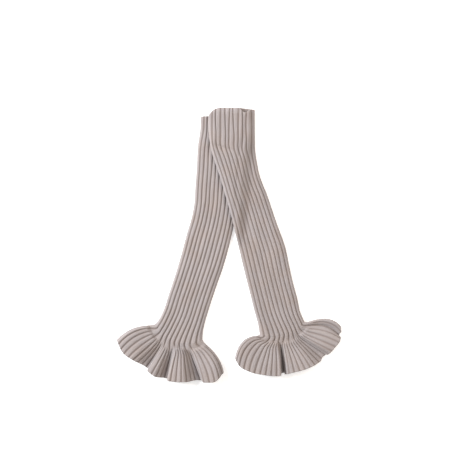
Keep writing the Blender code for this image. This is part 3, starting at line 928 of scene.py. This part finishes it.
class Shader:
    """Node tree of one material."""

    def __init__(self, name):
        self.material = bpy.data.materials.new(name)
        self.material.use_nodes = True
        self.tree = self.material.node_tree
        self.tree.nodes.clear()

    def node(self, kind, settings, sockets, output=0):
        """Node of a kind with its settings made first, then values or links in its sockets."""
        made = self.tree.nodes.new(kind)
        for key, value in settings.items():
            setattr(made, key, value)
        for key, value in sockets.items():
            if isinstance(value, Channel):
                self.tree.links.new(value.socket, made.inputs[key])
            else:
                made.inputs[key].default_value = value
        return Channel(self, made.outputs[output]) if made.outputs else None


def noise(shader, place, scale, detail):
    """Noise between 0 and 1 of a place."""
    return shader.node("ShaderNodeTexNoise", {}, {"Vector": place, "Scale": scale, "Detail": detail}, "Fac")


def knit_material(name, knit):
    """Soft heathered yarn: light on the ribs, with brownish painted shade in the grooves and in the gaps
    between stitches, with twisted plies and some fuzz.
    """
    shader = Shader(name)
    uv = shader.node("ShaderNodeUVMap", {"uv_map": "knit"}, {})
    phase = shader.node("ShaderNodeSeparateXYZ", {}, {0: uv}, "X")
    course = shader.node("ShaderNodeSeparateXYZ", {}, {0: uv}, "Y")
    crest = shader.node("ShaderNodeAttribute", {"attribute_name": "crest"}, {}, "Fac")
    place = shader.node("ShaderNodeTexCoord", {}, {}, "Object")
    fibre = noise(shader, place, FIBRE_SCALE, 3.0)
    blotch = noise(shader, place, BLOTCH_SCALE, 2.0)
    patch = noise(shader, place, PATCH_SCALE, 2.0)
    stripes = {"X": phase * STRIPES_ACROSS, "Y": course * STRIPES_ALONG}
    stripe = noise(shader, shader.node("ShaderNodeCombineXYZ", {}, stripes), 1.0, 1.0)
    from_middle = abs(phase.maths("FRACT") - 0.5)
    wale = abs((from_middle - WALE_MIDDLE) * (1.0 / WALE_HALF)).maths("MINIMUM", 1.0)
    leg = course + wale * (LEG_SLANT_ROWS / 2)
    between = (1.0 - abs((leg * np.pi).maths("SINE"))) ** GAP_SHARPNESS
    # Painted shade: the yarn goes from the rib's colour to the darker groove colour as the crest falls, as
    # if the grooves lay in shade
    raised = crest ** (CREST_POWER + blotch * CREST_BLOTCH)
    yarn = shader.node(
        "ShaderNodeMix",
        {"data_type": "RGBA"},
        {"Factor": raised, "A": (*knit.painted_groove_shade, 1.0), "B": (*knit.light_yarn, 1.0)},
        "Result",
    )
    warm = shader.node(
        "ShaderNodeMix",
        {"data_type": "RGBA", "blend_type": "MULTIPLY"},
        {"Factor": (patch - PATCH_FROM) * PATCH_GAIN, "A": yarn, "B": WARM_TINT},
        "Result",
    )
    # Painted shade darkens the gaps between the stitch legs
    tone = BASE_TONE + stripe * STRIPE_TONE + blotch * BLOTCH_TONE + fibre * FIBRE_TONE - between * GAP_PAINTED_SHADE
    colour = shader.node("ShaderNodeVectorMath", {"operation": "SCALE"}, {0: warm, "Scale": tone})
    twist = ((leg * PLIES_ALONG + wale * PLIES_ACROSS) * (2.0 * np.pi)).maths("SINE")
    height = twist * PLY_HEIGHT + fibre - between * GAP_HEIGHT
    bump = shader.node("ShaderNodeBump", {}, {"Strength": 0.5, "Distance": BUMP_DISTANCE, "Height": height})
    finish = shader.node(
        "ShaderNodeBsdfPrincipled",
        {},
        {
            "Base Color": colour,
            "Roughness": 0.95,
            "Specular IOR Level": 0.15,
            "Sheen Weight": knit.sheen,
            "Sheen Roughness": 0.45,
            "Sheen Tint": SHEEN_TINT,
            "Normal": bump,
        },
    )
    shader.node("ShaderNodeOutputMaterial", {}, {"Surface": finish})
    return shader.material


def floor_material(name, colour, glow):
    """Even matt sheet with a faint mottle in its roughness, lit from behind."""
    shader = Shader(name)
    place = shader.node("ShaderNodeTexCoord", {}, {}, "Object")
    mottle = noise(shader, place, MOTTLE_SCALE, 2.0)
    finish = shader.node(
        "ShaderNodeBsdfPrincipled",
        {},
        {
            "Base Color": (*colour, 1.0),
            "Roughness": FLOOR_ROUGHNESS + mottle * MOTTLE_ROUGHNESS,
            "Specular IOR Level": 0.2,
            "Emission Color": (1.0, 1.0, 1.0, 1.0),
            "Emission Strength": glow,
        },
    )
    shader.node("ShaderNodeOutputMaterial", {}, {"Surface": finish})
    return shader.material


def left_leg():
    """Tube and ruffle of the left leg warmer."""
    tube = Tube(LEFT_SPINE, LEFT_MOUTH, LEFT_DIPS, LEFT_CREASES, LEFT_SAG, LEFT_LEAN)
    return tube, Ruffle(tube, LEFT_HEM, LEFT_FOLD_BENDS, LEFT_SPREAD, LEFT_WAVES)


def right_leg():
    """Tube and ruffle of the right leg warmer."""
    tube = Tube(RIGHT_SPINE, RIGHT_MOUTH, RIGHT_DIPS, RIGHT_CREASES, RIGHT_SAG, RIGHT_LEAN, RIGHT_KINK)
    return tube, Ruffle(tube, RIGHT_HEM, RIGHT_FOLD_BENDS, RIGHT_SPREAD, RIGHT_WAVES)


class KnitSettings(PropertyGroup):
    """Sizes and colours of the knit."""

    rib_height: FloatProperty(
        name="Rib height",
        description="Height of the ribs over the sheet",
        default=0.0013,
        min=0.0,
        precision=4,
        unit="LENGTH",
    )
    groove_depth: FloatProperty(
        name="Groove depth",
        description="Depth of the grooves under the sheet",
        default=0.0009,
        min=0.0,
        precision=4,
        unit="LENGTH",
    )
    course_height: FloatProperty(
        name="Course height",
        description="Height of one row of stitches",
        default=0.00185,
        min=0.001,
        precision=5,
        unit="LENGTH",
    )
    leg_relief: FloatProperty(
        name="Stitch relief",
        description="Height of the legs of a stitch over the gaps between them",
        default=0.0005,
        min=0.0,
        precision=5,
        unit="LENGTH",
    )
    sheen: FloatProperty(
        name="Sheen",
        description="How much the loose fibres catch the light",
        default=0.25,
        min=0.0,
        max=1.0,
        subtype="FACTOR",
    )
    light_yarn: FloatVectorProperty(
        name="Rib colour",
        description="Colour of the yarn on the ribs",
        default=(0.358, 0.320, 0.317),
        min=0.0,
        max=1.0,
        subtype="COLOR",
    )
    # Painted shade: the colour the yarn is painted in the grooves, darker as if in their shade
    painted_groove_shade: FloatVectorProperty(
        name="Groove colour",
        description="Colour of the yarn in the grooves",
        default=(0.238, 0.197, 0.186),
        min=0.0,
        max=1.0,
        subtype="COLOR",
    )


class StudioSettings(PropertyGroup):
    """Floor, lights and camera."""

    view_middle: FloatVectorProperty(
        name="View middle",
        description="Place on the floor in the middle of the picture",
        default=(0.0019, 0.0298),
        size=2,
        precision=4,
        unit="LENGTH",
    )
    view_width: FloatProperty(
        name="View width",
        description="Width of the picture at the height of the cloth",
        default=0.874,
        min=0.1,
        unit="LENGTH",
    )
    camera_height: FloatProperty(
        name="Camera height",
        description="Height of the camera over the floor",
        default=3.4,
        min=0.5,
        unit="LENGTH",
    )
    floor_level: FloatProperty(
        name="Floor level",
        description="Height of the floor",
        default=cad_low.z - FLOOR_GAP,
        precision=4,
        unit="LENGTH",
    )
    floor_colour: FloatVectorProperty(
        name="Floor colour",
        description="Colour of the floor",
        default=(0.96, 0.96, 0.96),
        min=0.0,
        max=1.0,
        subtype="COLOR",
    )
    floor_glow: FloatProperty(
        name="Floor glow",
        description="Brightness of the light that comes up through the floor",
        default=0.44,
        min=0.0,
    )
    key_power: FloatProperty(
        name="Main light",
        description="Power of the large light at the upper left",
        default=99.0,
        min=0.0,
        unit="POWER",
    )
    fill_power: FloatProperty(
        name="Fill light",
        description="Power of the large warm light at the right",
        default=20.0,
        min=0.0,
        unit="POWER",
    )
    surround: FloatProperty(
        name="Surround",
        description="Brightness of the light from all around",
        default=0.46,
        min=0.0,
    )


class LEGWARMERS_OT_tubes(Operator):
    """Knit the two ribbed tubes"""

    bl_idname = "leg_warmers.tubes"
    bl_label = "Tubes"

    def execute(self, context):
        knit = context.scene.knit_settings
        left_tube = left_leg()[0]
        right_tube = right_leg()[0]
        left = knit_object("left_ribbed_tube", "left_tube", left_tube, knit)
        right = knit_object("right_ribbed_tube", "right_tube", right_tube, knit, under=left_tube)
        return {"FINISHED"}


class LEGWARMERS_OT_ruffles(Operator):
    """Knit the two ruffles"""

    bl_idname = "leg_warmers.ruffles"
    bl_label = "Ruffles"

    def execute(self, context):
        knit = context.scene.knit_settings
        left = knit_object("left_fluted_ruffle", "left_ruffle", left_leg()[1], knit)
        right = knit_object("right_fluted_ruffle", "right_ruffle", right_leg()[1], knit)
        return {"FINISHED"}


class LEGWARMERS_OT_studio(Operator):
    """Add the pale floor, the soft lights and the camera straight above"""

    bl_idname = "leg_warmers.studio"
    bl_label = "Studio"

    def execute(self, context):
        studio = context.scene.studio_settings
        x, y = studio.view_middle
        mesh = bpy.data.meshes.new("floor")
        corners = [(-1, -1), (1, -1), (1, 1), (-1, 1)]
        places = [(x + a * FLOOR_HALF, y + b * FLOOR_HALF, studio.floor_level) for a, b in corners]
        mesh.from_pydata(places, [], [(0, 1, 2, 3)])
        mesh.materials.append(floor_material("floor_sheet", studio.floor_colour, studio.floor_glow))
        floor = bpy.data.objects.new("floor", mesh)
        context.scene.collection.objects.link(floor)
        self.light("main_light", (x, y, 0.0), studio.key_power, *MAIN_LIGHT)
        self.light("fill_light", (x, y, 0.0), studio.fill_power, *FILL_LIGHT)
        world = bpy.data.worlds.new("surround")
        world.use_nodes = True
        background = world.node_tree.nodes["Background"]
        background.inputs["Color"].default_value = SURROUND_COLOUR
        background.inputs["Strength"].default_value = studio.surround
        context.scene.world = world
        context.scene.view_settings.view_transform = "Standard"
        data = bpy.data.cameras.new("camera")
        data.sensor_width = SENSOR_MILLIMETRES
        data.lens = data.sensor_width * studio.camera_height / studio.view_width
        data.clip_start = CLIP_NEAR
        data.clip_end = CLIP_FAR
        camera = bpy.data.objects.new("camera", data)
        camera.location = (x, y, studio.camera_height)
        context.scene.collection.objects.link(camera)
        context.scene.camera = camera
        return {"FINISHED"}

    def light(self, name, middle, power, offset, size, colour):
        """Square area light at an offset from the middle of the view, which it faces."""
        data = bpy.data.lights.new(name, "AREA")
        data.size = size
        data.energy = power
        data.color = colour
        lamp = bpy.data.objects.new(name, data)
        lamp.location = np.add(middle, offset)
        x, y, z = offset
        lamp.rotation_euler = (np.arccos(z / np.linalg.norm(offset)), 0.0, np.arctan2(x, -y))
        bpy.context.scene.collection.objects.link(lamp)


class LEGWARMERS_PT_panel(Panel):
    """Steps and settings of the leg warmers"""

    bl_idname = "LEGWARMERS_PT_panel"
    bl_label = "Leg Warmers"
    bl_space_type = "VIEW_3D"
    bl_region_type = "UI"
    bl_category = "Leg Warmers"

    def draw(self, context):
        for group in (context.scene.knit_settings, context.scene.studio_settings):
            box = self.layout.box()
            for name in group.__annotations__:
                box.prop(group, name)
        for step in STEPS:
            self.layout.operator(step.bl_idname)


STEPS = (LEGWARMERS_OT_tubes, LEGWARMERS_OT_ruffles, LEGWARMERS_OT_studio)
CLASSES = (KnitSettings, StudioSettings, *STEPS, LEGWARMERS_PT_panel)


def register():
    """Add the classes and the two groups of settings."""
    for cls in CLASSES:
        bpy.utils.register_class(cls)
    bpy.types.Scene.knit_settings = PointerProperty(type=KnitSettings)
    bpy.types.Scene.studio_settings = PointerProperty(type=StudioSettings)


def unregister():
    """Take away what register adds."""
    del bpy.types.Scene.studio_settings
    del bpy.types.Scene.knit_settings
    for cls in reversed(CLASSES):
        bpy.utils.unregister_class(cls)


def main():
    """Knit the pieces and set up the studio."""
    register()
    bpy.ops.leg_warmers.tubes()
    bpy.ops.leg_warmers.ruffles()
    bpy.ops.leg_warmers.studio()


if __name__ == "__main__":
    main()
